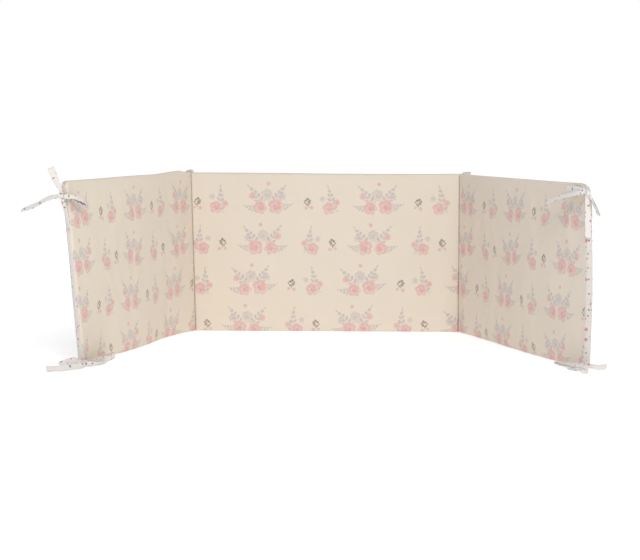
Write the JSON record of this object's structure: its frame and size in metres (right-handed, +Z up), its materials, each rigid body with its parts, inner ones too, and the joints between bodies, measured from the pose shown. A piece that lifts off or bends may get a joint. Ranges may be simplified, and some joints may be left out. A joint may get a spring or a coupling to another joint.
{
  "type": "crib bumper",
  "caption": "Padded cot bumper of panels joined by sewn folds, standing open as a U, with a tape tie at each corner and fold.",
  "frame": {"origin": "middle of the centre panel's foot, on the surface the bumper stands on", "axes": "+Z up; X along the centre panel, +X towards the right panel as the printed faces are seen; the printed face of the centre panel looks along -Y"},
  "size_m": [1.1153, 0.6731, 0.3791],
  "materials": {
    "cotton_cover": "matte printed cotton, cream",
    "cotton_tape": "matte dotted cotton, off-white"
  },
  "bodies": {
    "root": {"bumper_pad": "cotton_cover", "tie_top_left": "cotton_tape", "tie_top_right": "cotton_tape", "tie_bottom_left": "cotton_tape", "tie_bottom_right": "cotton_tape", "tie_fold_left": "cotton_tape", "tie_fold_right": "cotton_tape"}
  },
  "joints": []
}
